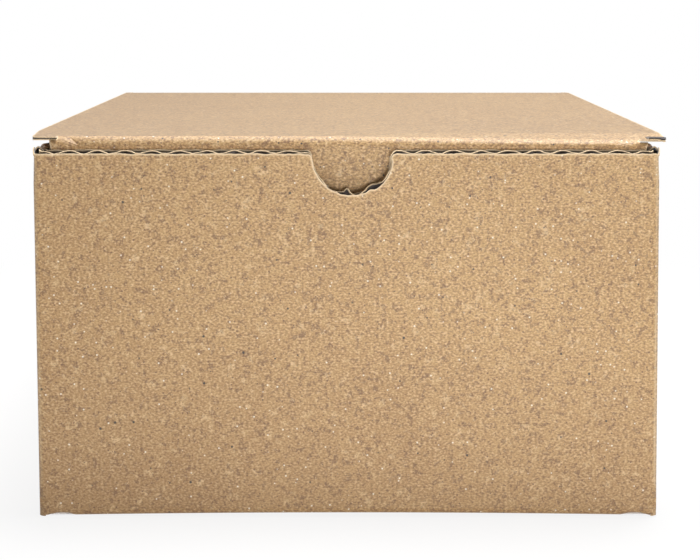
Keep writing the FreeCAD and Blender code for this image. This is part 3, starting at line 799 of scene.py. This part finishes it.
class CARTON_OT_walls(bpy.types.Operator):
    """Fold the liners of the four walls, with the thumb notch, and put the fluting between them"""

    bl_idname = "carton.walls"
    bl_label = "Walls"

    def execute(self, context):
        board, walls = context.scene.carton_board, context.scene.carton_walls
        back_top = CARTON_HIGH.z - context.scene.carton_lid.crease_start
        self.torn_above = walls.wall_height - 12 * MM
        outer = self.outer_liner(board, walls, back_top)
        inner = self.inner_liner(board, walls, back_top)
        for piece in (outer, inner):
            dress(piece, LINER_PAPER, "carton")
        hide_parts("carton_body")
        self.fluting(board, walls)
        return {"FINISHED"}

    def outer_liner(self, board, walls, back_top):
        rim = CARTON_HIGH.z
        inside_y = CARTON_HIGH.y - board.thickness
        ring = WallRing(CARTON_HIGH.x, CARTON_HIGH.y, walls.fold_radius, inside_y - walls.joint_radius,
                        walls.joint_radius)
        step = board.thickness - walls.fold_radius
        front, side = walls.fold_radius, board.thickness + walls.bottom_radius
        shoulder, table = rim - walls.side_radius, 0.2 * MM
        notch = [(ring.middle + x, z) for x, z in notch_line(walls, "outer", walls.wall_height)]
        outline = [
            (0.0, front), (ring.back_end, front), (ring.back_end, table), (ring.left_start, table),
            (ring.left_start, side), (ring.left_end, side), (ring.left_end, table), (ring.front_start, table),
            (ring.front_start, front), (ring.front_end, front), (ring.front_end, table),
            (ring.right_start, table), (ring.right_start, side), (ring.end, side),
            (ring.end, rim), (ring.right_end, rim), (ring.right_end, shoulder),
            (ring.right_start + step, shoulder), (ring.right_start + step, walls.wall_height),
            *notch,
            (ring.left_end - step, walls.wall_height), (ring.left_end - step, shoulder),
            (ring.left_start + step, shoulder), (ring.left_start + step, rim), (ring.back_end, rim),
            (ring.back_end, back_top), (0.0, back_top),
        ]
        columns = sorted(set(ring.route.stops() + steps_between(0.0, ring.end, WALL_STEP)))
        rows = steps_between(front, walls.wall_height, WALL_STEP)
        edge = roughen(split_edges(outline, columns, rows, SHOWN_EDGE), ragged_above(board, self.torn_above), 1)

        def cut(point):
            on_front = ring.left_end - step < point.x < ring.right_start + step
            return point.x > ring.right_end or on_front and point.y > self.torn_above

        points, triangles, nearness = cut_blank(edge, columns[1:-1], rows[1:-1], board.edge_band, cut)
        # A pale line is painted along each front fold, stronger at the right one, and carried in the edge values.
        line_width, off = 0.35 * MM, walls.fold_radius * 0.6
        for index, point in enumerate(points):
            for fold, share in ((ring.front_start - off, 0.2), (ring.front_end + off, 0.5)):
                pale_line = share * math.exp(-((point.x - fold) / line_width) ** 2)
                nearness[index] = max(nearness[index], pale_line * (0.8 + 0.4 * wander(point.y, 3 * MM, 4)))
        return make_slab("wall_outer_liner", (points, triangles, nearness), ring.place(walls), 0.0, board.liner)

    def inner_liner(self, board, walls, back_top):
        rim = CARTON_HIGH.z
        skin = board.thickness - board.liner
        bend = 0.5 * MM
        inside_y = CARTON_HIGH.y - skin
        ring = WallRing(CARTON_HIGH.x - skin, inside_y, bend, inside_y - bend, bend)
        low = 2 * board.thickness - board.liner
        side_top = rim - board.thickness - board.liner - 2 * MM
        top = walls.wall_height + walls.edge_rise
        notch = [(ring.middle + x, z) for x, z in notch_line(walls, "inner", top)]
        outline = [
            (0.0, low), (ring.right_end, low), (ring.right_end, side_top), (ring.right_start, side_top),
            (ring.right_start, top), *notch, (ring.left_end, top), (ring.left_end, side_top),
            (ring.left_start, side_top), (ring.left_start, back_top), (0.0, back_top),
        ]
        columns = sorted(set(ring.route.stops(4) + steps_between(0.0, ring.right_end, WALL_STEP)))
        rows = steps_between(low, top, WALL_STEP)
        edge = roughen(split_edges(outline, columns, rows, SHOWN_EDGE), ragged_above(board, self.torn_above), 2)

        def cut(point):
            return ring.left_end < point.x < ring.right_start and point.y > self.torn_above

        blank = cut_blank(edge, columns[1:-1], rows[1:-1], board.edge_band, cut)
        return make_slab("wall_inner_liner", blank, ring.place(walls), 0.0, board.liner, hollow_inside=False)

    def fluting(self, board, walls):
        """Waves of the front wall, and of the back wall, whose cut end shows at the glued joint."""
        half, front = CARTON_HIGH.x, CARTON_LOW.y
        top = walls.wall_height + walls.edge_rise / 2
        end = half - board.thickness / 2
        low = 2 * board.thickness
        outline = [(-end, low), (end, low), (end, top), *notch_line(walls, "medium", top), (-end, top)]
        rise = walls.edge_rise / board.thickness
        rows = steps_between(low, top, 16 * MM)[1:-1]

        def front_place(across, up, depth):
            lift = rise * (depth - board.thickness / 2) * smooth(up, low, low + 20 * MM)
            return settled(walls, (across, front + depth, up + lift))

        def crush(point):
            """Flat at the upright folds, and half pressed beside the notch."""
            beside, width = walls.notch_offset - walls.notch_radius - 3 * MM, 2 * MM
            at_fold = smooth(abs(point.x), end - 3 * MM, end)
            return max(at_fold, 0.55 * math.exp(-((point.x - beside) / width) ** 2))

        make_fluting("front_wall_fluting", outline, rows, front_place, board, "carton", 5, board.phase, crush)

        def back_place(across, up, depth):
            return settled(walls, (across, CARTON_HIGH.y - depth, up))

        near, far, high = half - 4 * board.pitch, half - 0.1 * MM, walls.wall_height
        outline = [(near, low), (far, low), (far, high), (near, high)]
        make_fluting("back_wall_fluting", outline, rows, back_place, board, "carton", 6, half)


class CARTON_OT_dust_flaps(bpy.types.Operator):
    """Fold the two dust flaps in from the side walls"""

    bl_idname = "carton.dust_flaps"
    bl_label = "Dust Flaps"

    def execute(self, context):
        board, walls = context.scene.carton_board, context.scene.carton_walls
        for name, side in (("right", 1), ("left", -1)):
            pieces = [self.outer_liner(name, side, board, walls), self.inner_liner(name, side, board, walls)]
            dress(join_pieces(f"{name}_dust_flap", pieces), LINER_PAPER, "carton")
            self.fluting(name, side, board, walls)
        return {"FINISHED"}

    def flap_line(self, root, fold, board, walls):
        """Outline on (along the wall, over the fold), from where the flat of the flap starts, at x = root."""
        inside = CARTON_HIGH.y - board.thickness
        front, rear = -inside + walls.dust_front, inside - walls.dust_rear
        taper, corner = walls.dust_taper, walls.dust_corner
        free = fold + root - (CARTON_HIGH.x - walls.dust_length)
        return [
            (front, fold), (front + taper, free - corner),
            *arc((front + taper + corner, free - corner), corner, math.pi, QUARTER, 12)[1:],
            *arc((rear - taper - corner, free - corner), corner, QUARTER, 0.0, 12),
            (rear, fold),
        ], front, rear, inside

    def outer_liner(self, name, side, board, walls):
        rim, half = CARTON_HIGH.z, CARTON_HIGH.x
        radius = walls.side_radius
        route = Route((half, rim - radius), QUARTER).bend(radius).run(walls.dust_length)
        fold = route.pieces[1][0]
        flap, front, rear, inside = self.flap_line(half - radius, fold, board, walls)
        level, joint = fold + 0.2 * MM, inside - walls.joint_radius
        outline = [(-inside, 0.0), (-inside, level), (front, level), *flap[1:-1], (rear, level), (joint, level),
                   (joint, 0.0)]
        outline.reverse()

        def place(across, up, depth):
            point = route.at(up, depth)
            return lifted(walls, (side * point.x, across, point.y))

        columns = steps_between(-inside, inside, WALL_STEP)[1:-1]
        rows = rows_along(route, fold, WALL_STEP)
        edge = roughen(split_edges(outline, columns, rows, PLAIN_EDGE), ragged_above(board, fold), 11 + side)
        blank = cut_blank(edge, columns, rows[1:], board.edge_band, past(0.5 * MM))
        return make_slab(f"{name}_outer", blank, place, 0.0, board.liner)

    def inner_liner(self, name, side, board, walls):
        rim, half = CARTON_HIGH.z, CARTON_HIGH.x
        skin, bend = board.thickness - board.liner, 0.5 * MM
        route = Route((half - skin, rim - skin - bend - 2 * MM), QUARTER).run(2 * MM).bend(bend)
        route.run(walls.dust_length)
        fold = route.pieces[2][0]
        flap, _, _, inside = self.flap_line(half - skin - bend, fold, board, walls)
        outline = [(-inside, 0.0), (-inside, fold), *flap, (inside, fold), (inside, 0.0)]
        outline.reverse()

        def place(across, up, depth):
            point = route.at(up, depth)
            return lifted(walls, (side * point.x, across, point.y))

        columns = steps_between(-inside, inside, WALL_STEP)[1:-1]
        rows = rows_along(route, fold, WALL_STEP, 4)
        edge = roughen(split_edges(outline, columns, rows, PLAIN_EDGE), ragged_above(board, fold), 21 + side)
        blank = cut_blank(edge, columns, rows[1:], board.edge_band, past(0.5 * MM))
        return make_slab(f"{name}_inner", blank, place, 0.0, board.liner, hollow_inside=False)

    def fluting(self, name, side, board, walls):
        near = CARTON_HIGH.x - 2 * board.thickness
        flap = self.flap_line(near, 0.0, board, walls)[0]

        def place(across, up, depth):
            return Vector((side * (near - up), across, CARTON_HIGH.z - depth))

        rows = steps_between(0.0, walls.dust_length - 6 * MM, 12 * MM)[1:-1]
        make_fluting(f"{name}_dust_fluting", list(reversed(flap)), rows, place, board, "carton", 7 + side)


class CARTON_OT_bottom(bpy.types.Operator):
    """Fold the four bottom flaps, the side ones above and the front and back ones below"""

    bl_idname = "carton.bottom"
    bl_label = "Bottom Flaps"

    def execute(self, context):
        board, walls = context.scene.carton_board, context.scene.carton_walls
        for name, side in (("front", -1), ("back", 1)):
            self.outer_flap(name, side, board, walls)
        for name, side in (("left", -1), ("right", 1)):
            self.inner_flap(name, side, board, walls)
        return {"FINISHED"}

    def outer_flap(self, name, side, board, walls):
        half_x, half_y, radius = CARTON_HIGH.x, CARTON_HIGH.y, walls.fold_radius
        wide, narrow = half_x - walls.bottom_inset, half_x - radius + 0.3 * MM
        route = Route((-half_y, radius), -QUARTER).bend(radius).run(half_y - radius - walls.seam_gap / 2)
        fold, free = route.pieces[1][0], route.length
        outline = [(-narrow, 0.0), (narrow, 0.0), (narrow, fold), (wide, fold), (wide, free), (-wide, free),
                   (-wide, fold), (-narrow, fold)]

        def place(across, up, depth):
            point = route.at(up, depth)
            return settled(walls, (across, -side * point.x, point.y))

        columns = steps_between(-wide, wide, FLAP_STEP)[1:-1]
        self.flap(f"{name}_bottom", outline, wide, columns, route, place, board, 31 + side)

    def inner_flap(self, name, side, board, walls):
        half_x, inside = CARTON_HIGH.x, CARTON_HIGH.y - board.thickness - 0.1 * MM
        radius, wall = walls.bottom_radius, board.thickness
        route = Route((-half_x, wall + radius), -QUARTER).bend(radius).run(half_x - radius - walls.seam_gap / 2)
        free = route.length
        outline = [(-inside, 0.0), (inside, 0.0), (inside, free), (-inside, free)]

        def place(across, up, depth):
            point = route.at(up, depth)
            return settled(walls, (-side * point.x, across, point.y))

        columns = steps_between(-inside, inside, FLOOR_STEP)[1:-1]
        self.flap(f"{name}_floor", outline, inside, columns, route, place, board, 41 + side)

    def flap(self, name, outline, wide, columns, route, place, board, seed):
        """The liners and the fluting, which start a little past the fold inside it."""
        fold, free = route.pieces[1][0], route.length
        start = fold + 2 * MM
        upper = [(-wide, start), (wide, start), (wide, free), (-wide, free)]
        rows = rows_along(route, fold, FLOOR_STEP)[1:-1]
        line_flap(f"{name}_flap", (outline, upper), columns, rows, place, board, HIDDEN_EDGE,
                  ragged_above(board, fold), seed, past(fold))
        rows = steps_between(fold, free, 20 * MM)[1:-1]
        make_fluting(f"{name}_fluting", upper, rows, place, board, "carton", seed + 2)


class CARTON_OT_glue_flap(bpy.types.Operator):
    """Glue the sheet's end inside the back wall"""

    bl_idname = "carton.glue_flap"
    bl_label = "Glue Flap"

    def execute(self, context):
        board, walls = context.scene.carton_board, context.scene.carton_walls
        far = CARTON_HIGH.x - board.thickness - 0.1 * MM
        near = CARTON_HIGH.x - board.thickness - walls.glue_width
        low = 2 * board.thickness + walls.glue_margin
        high = walls.wall_height - walls.glue_margin
        slant, wall = walls.glue_slant, CARTON_HIGH.y - board.thickness
        outline = [(near, low), (far, low - slant), (far, high + slant), (near, high)]

        def place(across, up, depth):
            return Vector((across, wall - depth, up))

        columns, rows = (steps_between(start, end, FLOOR_STEP)[1:-1] for start, end in ((near, far), (low, high)))
        line_flap("glue_flap", (outline, outline), columns, rows, place, board, PLAIN_EDGE,
                  lambda point: board.ragged, 51)
        rows = steps_between(low, high, 20 * MM)[1:-1]
        make_fluting("glue_flap_fluting", outline, rows, place, board, "carton", 53)
        return {"FINISHED"}


class LidForm:
    """Places that the lid's pieces share."""

    def __init__(self, board, lid):
        self.lid = lid
        self.half, self.top = LID_HIGH.x, LID_HIGH.z
        self.under = self.top - board.thickness
        self.crease_y = LID_LOW.y + lid.ear_nose
        self.nose_y = LID_LOW.y
        self.fold_y = self.crease_y + lid.fold_radius
        self.flap_half = self.half - lid.ear_width
        self.slit_half = self.flap_half - lid.slit_overrun
        self.rear = LID_HIGH.y
        self.crease_end = self.rear - lid.crease_reach
        self.outer = Route((self.fold_y, self.top), math.pi).bend(lid.fold_radius, QUARTER + lid.lean)
        self.bend_end = self.outer.length
        self.outer.run(lid.flap_depth)
        skin = board.thickness - board.liner
        start = self.outer.at(self.bend_end, skin)
        down = Vector((math.sin(lid.lean), -math.cos(lid.lean)))
        corner = start - down * ((start.y - (self.top - skin)) / down.y)
        self.inner_bend = 0.6 * MM
        back = self.inner_bend * math.tan((QUARTER + lid.lean) / 2)
        self.inner_y = corner.x + back
        self.inner = Route((self.inner_y, self.top - skin), math.pi).bend(self.inner_bend, QUARTER + lid.lean)
        self.inner_fold = self.inner.length
        end = self.outer.at(self.outer.length, skin)
        self.inner.run((end - self.inner.point).length)
        self.wall_half = CARTON_HIGH.x

    def narrowed(self, point):
        """The front left corner is bent in."""
        x, y, z = point
        share = smooth(-y, 67 * MM, 87 * MM) * smooth(-x, 60 * MM, self.half)
        return Vector((x + self.lid.bent_in * share, y, z))

    def drooped(self, point):
        """The front fold is pressed down towards its right end."""
        x, y, z = self.narrowed(point)
        share = smooth(x, -0.3 * self.half, self.half) * smooth(-y, -self.fold_y - 9 * MM, -self.crease_y)
        return Vector((x, y, z - self.lid.droop * share * smooth(z, self.top - 2.4 * MM, self.top)))


class CARTON_OT_lid(bpy.types.Operator):
    """Lay the lid's two liners, with its ears, and the fluting between them"""

    bl_idname = "carton.lid"
    bl_label = "Lid"

    def execute(self, context):
        board, lid = context.scene.carton_board, context.scene.carton_lid
        form = LidForm(board, lid)
        half, corner, flap = form.half, lid.corner, form.flap_half
        tab, rear = form.wall_half + 0.1 * MM, form.rear

        def place(across, up, depth):
            return form.drooped((across, up, form.top - depth))

        rear_line = [
            *arc((half - corner, rear - corner), corner, 0.0, QUARTER, 8), (tab, rear), (tab, form.crease_end),
            (-tab, form.crease_end), (-tab, rear), *arc((corner - half, rear - corner), corner, QUARTER, math.pi, 8),
        ]
        nose = form.nose_y
        top_line = [
            *arc((corner - half, nose + corner), corner, math.pi, 3 * QUARTER, 8),
            (-form.slit_half, nose), (-form.slit_half, form.fold_y),
            (form.slit_half, form.fold_y), (form.slit_half, nose),
            *arc((half - corner, nose + corner), corner, 3 * QUARTER, 4 * QUARTER, 8), *rear_line,
        ]
        reach = form.crease_y + lid.ear_reach
        under_line = [
            (-half, reach), (-flap, reach), (-flap, form.inner_y), (flap, form.inner_y), (flap, reach), (half, reach),
            *rear_line,
        ]
        columns = steps_between(-half, half, FLAP_STEP)
        skin = board.thickness - board.liner

        def cut_to(wide, front):
            """True away from the folds, where the liner goes on into the next panel."""
            def cut(point):
                ahead_fold = abs(point.x) < wide - 0.3 * MM and point.y < front + 1 * MM
                rear_fold = abs(point.x) < tab - 0.3 * MM and point.y > form.crease_end - 1 * MM
                return not (ahead_fold or rear_fold)
            return cut

        outer = self.sheet("lid_outer_liner", top_line, columns, board, place, 0.0, True, 61,
                           cut_to(form.slit_half, form.fold_y))
        inner = self.sheet("lid_inner_liner", under_line, columns, board, place, skin, False, 62,
                           cut_to(flap, form.inner_y))
        for piece in (outer, inner):
            dress(piece, LINER_PAPER, "lid")
        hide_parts("lid")

        inset = board.liner
        front = form.inner_y + 1 * MM
        ears = [(-half, reach), (-flap, reach), (-flap, front), (flap, front), (flap, reach), (half, reach)]
        line = [(max(inset - half, min(half - inset, x)), min(y, rear - inset)) for x, y in ears + rear_line]
        make_fluting("lid_fluting", line, steps_between(front, rear, 25 * MM)[1:-1], place, board, "lid", 65)
        return {"FINISHED"}

    def sheet(self, name, outline, columns, board, place, outer, hidden, seed, cut):
        low = min(point[1] for point in outline)
        rows = steps_between(low, max(point[1] for point in outline), FLAP_STEP)
        rows += steps_between(low, low + 12 * MM, 1.0 * MM)
        rows = sorted(set(rows))[1:-1]
        edge = roughen(split_edges(outline, columns[1:-1], rows, PLAIN_EDGE), lambda point: board.ragged * 0.5, seed)
        blank = cut_blank(edge, columns[1:-1], rows, board.edge_band, cut)
        return make_slab(name, blank, place, outer, outer + board.liner, hidden)


class CARTON_OT_tuck_flap(bpy.types.Operator):
    """Fold the tuck flap down behind the front wall"""

    bl_idname = "carton.tuck_flap"
    bl_label = "Tuck Flap"

    def execute(self, context):
        board, lid = context.scene.carton_board, context.scene.carton_lid
        form = LidForm(board, lid)
        tight = CARTON_HIGH.x - board.thickness - lid.flap_side_gap
        outer = self.liner("tuck_outer", form, form.outer, form.bend_end, tight, board, lid, True, 71)
        inner = self.liner("tuck_inner", form, form.inner, form.inner_fold, tight, board, lid, False, 72)
        dress(join_pieces("tuck_flap", [outer, inner]), LINER_PAPER, "lid")

        start = form.bend_end + 2 * MM
        line = self.flap_line(form.flap_half, tight, start, start + 3 * MM, form.outer.length, lid)
        rows = steps_between(start, form.outer.length, 12 * MM)[1:-1]
        make_fluting("tuck_flap_fluting", line, rows, self.place(form, form.outer), board, "lid", 73)
        return {"FINISHED"}

    def flap_line(self, wide, tight, start, narrow_at, free, lid):
        """Outline on (across, down the flap), anticlockwise."""
        corner = lid.flap_corner
        return [
            (-wide, start), (wide, start), (tight, narrow_at),
            *arc((tight - corner, free - corner), corner, 0.0, QUARTER, 14),
            *arc((corner - tight, free - corner), corner, QUARTER, math.pi, 14), (-tight, narrow_at),
        ]

    def place(self, form, route):
        def folded(across, up, depth):
            point = route.at(up, depth)
            return form.drooped((across, point.x, point.y))
        return folded

    def liner(self, name, form, route, fold, tight, board, lid, hidden, seed):
        wide, slit = form.flap_half, form.slit_half
        line = self.flap_line(wide, tight, fold, fold + 3 * MM, route.length, lid)
        if hidden:
            open_at = lid.fold_radius * math.acos(1 - (board.liner + lid.slit_width) / lid.fold_radius)
            line = [(-slit, 0.0), (slit, 0.0), (slit, open_at), (wide, open_at), *line[2:], (-wide, open_at),
                    (-slit, open_at)]
        else:
            line = [(-wide, 0.0), (wide, 0.0), *line[2:]]
        columns = steps_between(-wide, wide, FLAP_STEP)[1:-1]
        rows = rows_along(route, fold, FLAP_STEP, 12)[1:-1]
        edge = roughen(split_edges(line, columns, rows, PLAIN_EDGE), ragged_above(board, 0.3 * MM), seed)
        blank = cut_blank(edge, columns, rows, board.edge_band, past(0.6 * MM))
        return make_slab(name, blank, self.place(form, route), 0.0, board.liner, hidden)


class CARTON_OT_ears(bpy.types.Operator):
    """Bend the inner liner of each ear up towards the outer one, where the board is crushed"""

    bl_idname = "carton.ears"
    bl_label = "Ears"

    def execute(self, context):
        board, lid = context.scene.carton_board, context.scene.carton_lid
        form = LidForm(board, lid)
        for name, side in (("right", 1), ("left", -1)):
            dress(self.tongue(name, side, form, board, lid), LINER_PAPER, "lid")
            dress(self.tongue(name, side, form, board, lid, crushed=True), WAVY_PAPER, "lid")
        return {"FINISHED"}

    def tongue(self, name, side, form, board, lid, crushed=False):
        """The liner under the ear, or the crushed fluting halfway between it and the outer liner."""
        near, far, corner = form.flap_half, form.half, lid.corner
        nose, reach = form.nose_y, form.crease_y + lid.ear_reach
        nose_z, hook = form.top - lid.ear_thickness, 0.7 * MM if side > 0 else 0.0

        def place(across, up, depth):
            share = min(max((reach - up) / (reach - nose), 0.0), 1.0)
            curl = hook * smooth(across, far - 2.5 * MM, far) * smooth(nose + 3 * MM - up, 0.0, 3 * MM)
            level = form.under + (nose_z - form.under) * share - curl
            if crushed:
                level = (level + form.top - board.medium) / 2
            return form.narrowed((side * across, up, level + depth))

        line = [(near, nose + 0.4 * MM), (far - corner, nose + 0.2 * MM),
                *arc((far - corner, nose + corner + 0.2 * MM), corner, 3 * QUARTER, 4 * QUARTER, 8)[1:],
                (far, reach), (near, reach)]
        columns = steps_between(near, far, 0.8 * MM)[1:-1]
        curled = nose + 4 * MM
        rows = steps_between(nose, curled, 0.8 * MM)[1:] + steps_between(curled, reach, 2 * MM)[1:-1]
        edge = roughen(split_edges(line, columns, rows, 0.5 * MM), lambda point: board.ragged * 0.8, 81 + side)

        def cut(point):
            return not crushed and point.y < reach - 0.5 * MM

        blank = cut_blank(edge, columns, rows, board.edge_band, cut)
        if crushed:
            return make_slab(f"{name}_ear_fluting", blank, place, 0.0, board.medium)
        return make_slab(f"{name}_ear", blank, place, 0.0, board.liner)


class CARTON_OT_crease(bpy.types.Operator):
    """Bend the board over the top of the back wall, where the lid turns"""

    bl_idname = "carton.crease"
    bl_label = "Rear Crease"

    def execute(self, context):
        board, lid = context.scene.carton_board, context.scene.carton_lid
        form = LidForm(board, lid)
        rear, thick, radius = form.rear, board.thickness, board.thickness / 2
        low, ahead_y = CARTON_HIGH.z - lid.crease_start, form.crease_end
        outer = [(rear, low), *arc((rear - radius, form.top - radius), radius, 0.0, QUARTER, 10),
                 (ahead_y, form.top)]
        bend = 0.6 * MM
        inner = [(ahead_y, form.under),
                 *arc((rear - thick - bend, form.under - bend), bend, QUARTER, 0.0, 5), (rear - thick, low)]
        section = split_edges(outer + inner, [], [], 0.5 * MM)
        half, count = form.wall_half - 0.1 * MM, len(section)
        places = [-half, *steps_between(0.3 * MM - half, half - 0.3 * MM, 6 * MM), half]
        vertices = [Vector((x, point.x, point.y)) for x in places for point in section]
        faces = []
        for row in range(len(places) - 1):
            for index in range(count):
                here, there = row * count + index, row * count + (index + 1) % count
                faces.append((here, there, there + count, here + count))
        faces += [tuple(range(count)), tuple(range(len(vertices) - count, len(vertices)))]
        edge = [float(abs(vertex.x) > half - 0.01 * MM) for vertex in vertices]
        piece = new_mesh_object("rear_crease", vertices, faces, {"edge": edge, "hollow": [0.0] * len(vertices)})
        piece.data.materials.append(bpy.data.materials[LINER_PAPER])
        start, end = (0, rear, form.under - 0.4 * MM), (0, rear - 3.2 * MM, form.top - 0.2 * MM)
        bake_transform(piece)
        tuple(start)
        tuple(end)
        return {"FINISHED"}


class CARTON_OT_papers(bpy.types.Operator):
    """Make the papers' materials"""

    bl_idname = "carton.papers"
    bl_label = "Papers"

    def execute(self, context):
        look = context.scene.carton_look
        make_liner_paper(look)
        make_fluting_paper(look)
        return {"FINISHED"}


class CARTON_OT_stage(bpy.types.Operator):
    """Set up the floor, the lamps and the camera"""

    bl_idname = "carton.stage"
    bl_label = "Stage"

    def execute(self, context):
        scene = context.scene
        self.floor()
        self.world(scene)
        self.lamp("front", (0.05, -0.36, 0.03), 0.08, 0.33)
        self.lamp("top", (0.10, 0.10, 0.90), 0.50, 11.5)
        self.camera(scene)
        scene.view_settings.view_transform = "Standard"
        return {"FINISHED"}

    def floor(self):
        mesh = bpy.data.meshes.new("floor")
        reach, corners = 6.0, 64
        angles = [step * math.pi / (corners / 2) for step in range(corners)]
        rim = [(reach * math.cos(angle), reach * math.sin(angle), 0.0) for angle in angles]
        mesh.from_pydata(rim, [], [tuple(range(corners))])
        floor = show("floor", mesh)
        material = bpy.data.materials.new("pale_floor")
        material.use_nodes = True
        material.node_tree.nodes.clear()
        paint = Network(material.node_tree)
        seen = paint.seen_ray()
        place = paint.add("ShaderNodeTexCoord", output="Object")
        away = paint.add("ShaderNodeVectorMath", {"operation": "LENGTH"}, {0: place}, "Value")
        plain = paint.between(away, 0.12, 0.32) * 0.14 + 0.86
        lit = paint.add("ShaderNodeBsdfDiffuse", inputs={"Color": (0.9, 0.9, 0.9, 1)})
        bright = paint.add("ShaderNodeEmission", inputs={"Color": (1, 1, 1, 1), "Strength": 1.0})
        mixed = paint.add("ShaderNodeMixShader", inputs={0: seen * plain, 1: lit, 2: bright})
        paint.add("ShaderNodeOutputMaterial", inputs={"Surface": mixed})
        mesh.materials.append(material)

    def world(self, scene):
        world = bpy.data.worlds.new("studio")
        world.use_nodes = True
        world.node_tree.nodes.clear()
        air = Network(world.node_tree)
        strength = air.seen_ray() * 0.85 + 0.15
        light = air.add("ShaderNodeBackground", inputs={"Color": (1, 1, 1, 1), "Strength": strength})
        air.add("ShaderNodeOutputWorld", inputs={"Surface": light})
        scene.world = world

    def lamp(self, name, spot, size, power):
        light = bpy.data.lights.new(name, "AREA")
        light.shape, light.size, light.energy = "DISK", size, power
        lamp = bpy.data.objects.new(name, light)
        lamp.location = spot
        lamp.rotation_mode = "QUATERNION"
        lamp.rotation_quaternion = (Vector((0, 0, 0.05)) - Vector(spot)).to_track_quat("-Z", "Y")
        bpy.context.scene.collection.objects.link(lamp)

    def camera(self, scene):
        stage = scene.carton_stage
        lens = bpy.data.cameras.new("camera")
        lens.lens, lens.shift_y, lens.sensor_width = stage.lens, stage.shift, 36.0
        camera = bpy.data.objects.new("camera", lens)
        camera.location = stage.spot
        camera.rotation_euler = (QUARTER - stage.pitch, 0.0, -stage.yaw)
        scene.collection.objects.link(camera)
        scene.camera = camera


PIECES = (
    CARTON_OT_papers, CARTON_OT_walls, CARTON_OT_dust_flaps, CARTON_OT_bottom, CARTON_OT_glue_flap,
    CARTON_OT_lid, CARTON_OT_tuck_flap, CARTON_OT_ears, CARTON_OT_crease, CARTON_OT_stage,
)
SETTINGS = {
    "carton_board": BoardSizes, "carton_walls": CartonSizes, "carton_lid": LidSizes,
    "carton_look": KraftLook, "carton_stage": StageLook,
}


class CARTON_PT_panel(bpy.types.Panel):
    """Every step of the carton, in the order in which they run"""

    bl_idname = "CARTON_PT_panel"
    bl_label = "Tuck-Top Carton"
    bl_space_type = "VIEW_3D"
    bl_region_type = "UI"
    bl_category = "Carton"

    def draw(self, context):
        for name, group in SETTINGS.items():
            box = self.layout.box()
            box.label(text=group.__doc__)
            for key in group.__annotations__:
                box.prop(getattr(context.scene, name), key)
        for piece in PIECES:
            self.layout.operator(piece.bl_idname)


def register():
    for kind in (*SETTINGS.values(), *PIECES, CARTON_PT_panel):
        bpy.utils.register_class(kind)
    for name, group in SETTINGS.items():
        setattr(bpy.types.Scene, name, bpy.props.PointerProperty(type=group))


def unregister():
    for name in SETTINGS:
        delattr(bpy.types.Scene, name)
    for kind in reversed((*SETTINGS.values(), *PIECES, CARTON_PT_panel)):
        bpy.utils.unregister_class(kind)


def main():
    register()
    bpy.ops.carton.papers()
    bpy.ops.carton.walls()
    bpy.ops.carton.dust_flaps()
    bpy.ops.carton.bottom()
    bpy.ops.carton.glue_flap()
    bpy.ops.carton.lid()
    bpy.ops.carton.tuck_flap()
    bpy.ops.carton.ears()
    bpy.ops.carton.crease()
    bpy.ops.carton.stage()


if __name__ == "__main__":
    main()
